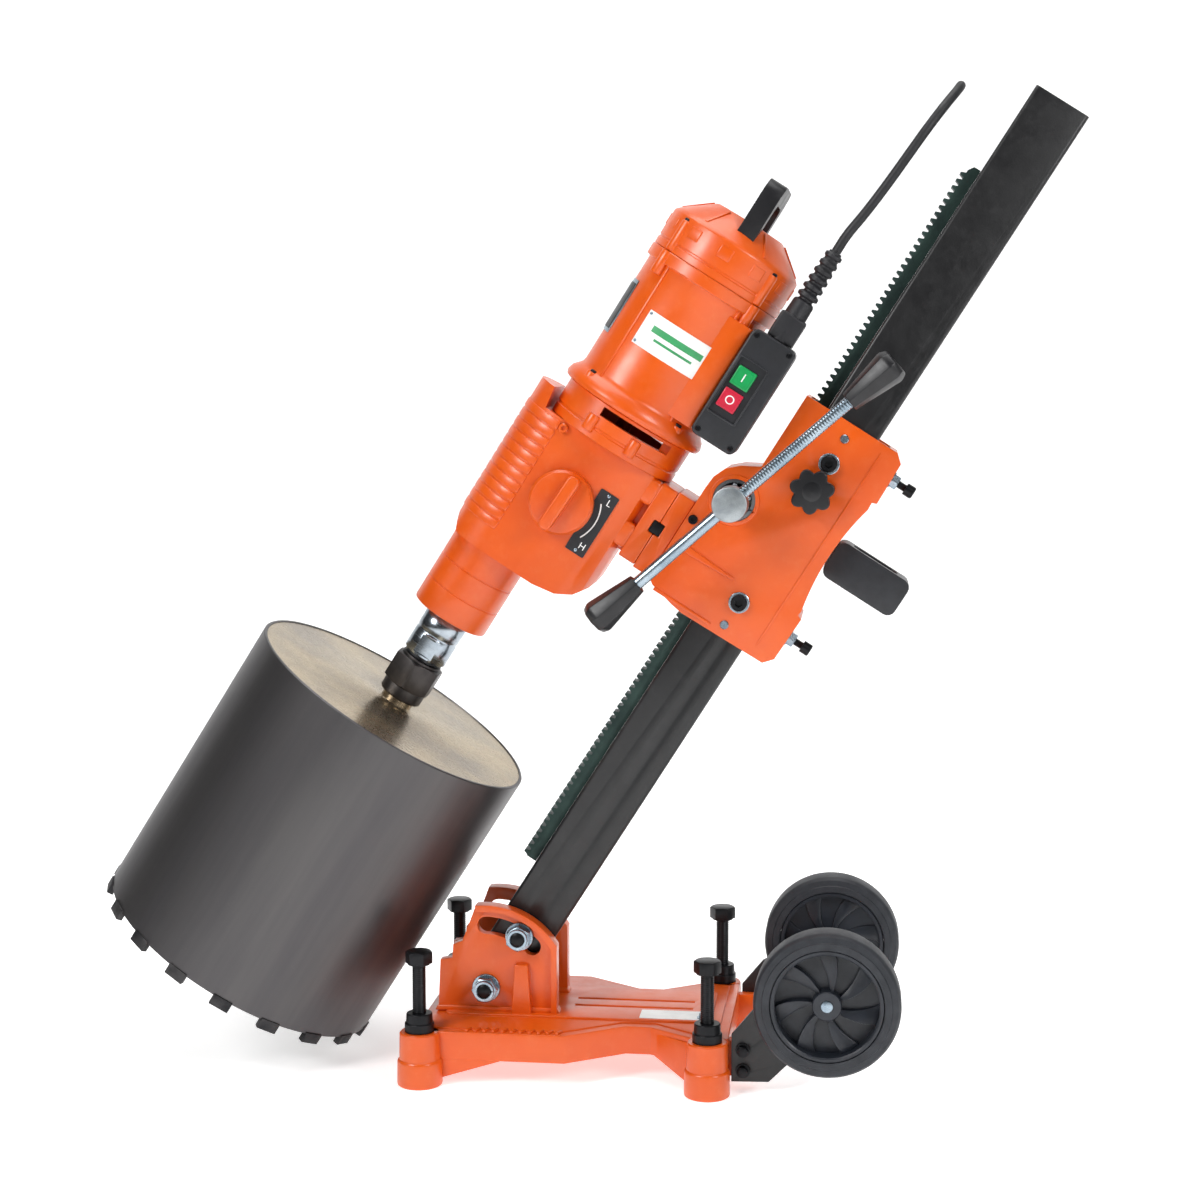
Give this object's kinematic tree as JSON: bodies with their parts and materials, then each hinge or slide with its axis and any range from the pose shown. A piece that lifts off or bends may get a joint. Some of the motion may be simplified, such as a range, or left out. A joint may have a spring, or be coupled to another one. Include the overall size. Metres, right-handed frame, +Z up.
{
  "type": "core drill rig",
  "caption": "Wheeled core drill rig: tilting column with rack, crank-fed carriage, geared drill motor, large core bit and mains lead.",
  "frame": {"origin": "on the floor under the middle of the machine's box, without the mains lead", "axes": "+X towards the wheels, +Y to the side away from the crank, +Z up"},
  "size_m": [1.0403, 0.3258, 1.0392],
  "materials": {
    "orange_paint": "satin orange enamel on cast aluminium, lightly textured",
    "black_paint": "satin black powder coat on steel",
    "rack_steel": "phosphated steel, dark green-grey",
    "black_steel": "black oxide steel",
    "zinc_steel": "bright zinc plate with blue passivation",
    "gear_steel": "machined and oiled steel",
    "copper_windings": "varnished copper windings",
    "black_plastic": "textured black moulded plastic",
    "rubber": "matt black rubber",
    "wheel_plastic": "dark blue-grey moulded plastic",
    "tyre_rubber": "dark grey rubber tyre",
    "slide_plastic": "natural low-friction plastic",
    "green_button": "glossy green plastic",
    "red_button": "glossy red plastic",
    "bit_steel": "dark satin steel tube with diamond segments"
  },
  "bodies": {
    "base": {"base_casting": "orange_paint", "pivot_bolt": "zinc_steel", "pivot_nut": "zinc_steel", "wheel_axle": "zinc_steel", "wheel_bracket_front": "black_paint", "wheel_bracket_back": "black_paint", "levelling_nut_front_left": "black_steel", "levelling_nut_front_right": "black_steel", "levelling_nut_back_left": "black_steel", "levelling_nut_back_right": "black_steel"},
    "levelling_front_left": {"levelling_screw_front_left": "black_steel"},
    "levelling_front_right": {"levelling_screw_front_right": "black_steel"},
    "levelling_back_left": {"levelling_screw_back_left": "black_steel"},
    "levelling_back_right": {"levelling_screw_back_right": "black_steel"},
    "wheel_front": {"wheel_rim_front": "wheel_plastic", "wheel_tyre_front": "tyre_rubber"},
    "wheel_back": {"wheel_rim_back": "wheel_plastic", "wheel_tyre_back": "tyre_rubber"},
    "column": {"column_tube": "black_paint", "gear_rack": "rack_steel", "clamp_bolt": "zinc_steel", "clamp_nut": "zinc_steel"},
    "carriage": {"carriage_housing": "orange_paint", "mount_plate": "orange_paint", "gearbox_housing": "orange_paint", "gearbox_nose": "orange_paint", "gearbox_cover": "orange_paint", "motor_housing": "orange_paint", "motor_cap": "orange_paint", "guide_strip_front": "slide_plastic", "guide_strip_back": "slide_plastic", "guide_pad_lower": "slide_plastic", "guide_pad_upper": "slide_plastic", "adjusting_screw_lower": "black_steel", "adjusting_screw_upper": "black_steel", "pinion_bearing_front": "gear_steel", "pinion_bearing_back": "gear_steel", "stator": "gear_steel", "carriage_grip": "black_plastic", "carry_handle": "black_plastic", "switch_box": "black_plastic", "strain_relief": "black_plastic", "cord_lead": "rubber", "cord_tail": "rubber", "cord_coil": "rubber", "plug": "rubber"},
    "crank": {"pinion_shaft": "gear_steel", "crank_hub": "zinc_steel", "crank_bar": "zinc_steel", "crank_grip_lower": "black_plastic", "crank_grip_upper": "black_plastic"},
    "lock_knob": {"lock_knob": "black_plastic"},
    "gear_selector": {"gear_selector": "orange_paint"},
    "on_button": {"on_button": "green_button"},
    "off_button": {"off_button": "red_button"},
    "spindle": {"spindle": "zinc_steel", "chuck": "black_steel", "core_bit": "bit_steel"},
    "intermediate_gear": {"intermediate_gear": "gear_steel"},
    "armature": {"armature": "copper_windings"}
  },
  "joints": [
    {"name": "column_tilt", "type": "hinge", "parent": "base", "child": "column", "pos_m": [-0.0963, 0, 0.0861], "axis": [0, 1, 0], "range_deg": [-32.3, 12.7]},
    {"name": "carriage_slide", "type": "slide", "parent": "column", "child": "carriage", "axis": [0.5344, 0, 0.8453], "range_m": [-0.34, 0.37]},
    {"name": "crank_turn", "type": "hinge", "parent": "carriage", "child": "crank", "pos_m": [0.16625, 0, 0.61183], "axis": [0, 1, 0], "range_deg": [-1310, 1420]},
    {"name": "lock_knob_turn", "type": "hinge", "parent": "carriage", "child": "lock_knob", "pos_m": [0.24704, -0.06, 0.62266], "axis": [0, 1, 0], "range_deg": [-180, 540]},
    {"name": "gear_selector_turn", "type": "hinge", "parent": "carriage", "child": "gear_selector", "pos_m": [-0.01239, -0.06, 0.60921], "axis": [0, 1, 0], "range_deg": [0, 90]},
    {"name": "on_button_press", "type": "slide", "parent": "carriage", "child": "on_button", "axis": [0, 1, 0], "range_m": [0, 0.003], "stiffness_N_per_m": 400},
    {"name": "off_button_press", "type": "slide", "parent": "carriage", "child": "off_button", "axis": [0, 1, 0], "range_m": [0, 0.003], "stiffness_N_per_m": 400},
    {"name": "spindle_spin", "type": "hinge", "parent": "carriage", "child": "spindle", "pos_m": [-0.14816, 0, 0.4738], "axis": [0.5344, 0, 0.8453], "continuous": true},
    {"name": "intermediate_spin", "type": "hinge", "parent": "carriage", "child": "intermediate_gear", "pos_m": [-0.03316, 0.0161, 0.60222], "axis": [0.5344, 0, 0.8453], "continuous": true},
    {"name": "armature_spin", "type": "hinge", "parent": "carriage", "child": "armature", "pos_m": [0.0014, 0, 0.61587], "axis": [0.5344, 0, 0.8453], "continuous": true},
    {"name": "wheel_front_roll", "type": "hinge", "parent": "base", "child": "wheel_front", "pos_m": [0.2696, -0.124, 0.106], "axis": [0, 1, 0], "continuous": true},
    {"name": "wheel_back_roll", "type": "hinge", "parent": "base", "child": "wheel_back", "pos_m": [0.2696, 0.124, 0.106], "axis": [0, 1, 0], "continuous": true},
    {"name": "levelling_front_left_travel", "type": "slide", "parent": "base", "child": "levelling_front_left", "axis": [0, 0, 1], "range_m": [-0.03, 0.03]},
    {"name": "levelling_front_right_travel", "type": "slide", "parent": "base", "child": "levelling_front_right", "axis": [0, 0, 1], "range_m": [-0.03, 0.03]},
    {"name": "levelling_back_left_travel", "type": "slide", "parent": "base", "child": "levelling_back_left", "axis": [0, 0, 1], "range_m": [-0.03, 0.03]},
    {"name": "levelling_back_right_travel", "type": "slide", "parent": "base", "child": "levelling_back_right", "axis": [0, 0, 1], "range_m": [-0.03, 0.03]}
  ],
  "couplings": [
    {"joint": "crank_turn", "follows": "carriage_slide", "rad_per_m": 66.667},
    {"joint": "intermediate_spin", "follows": "spindle_spin", "ratio": -3.1},
    {"joint": "armature_spin", "follows": "spindle_spin", "ratio": 8.6111}
  ]
}
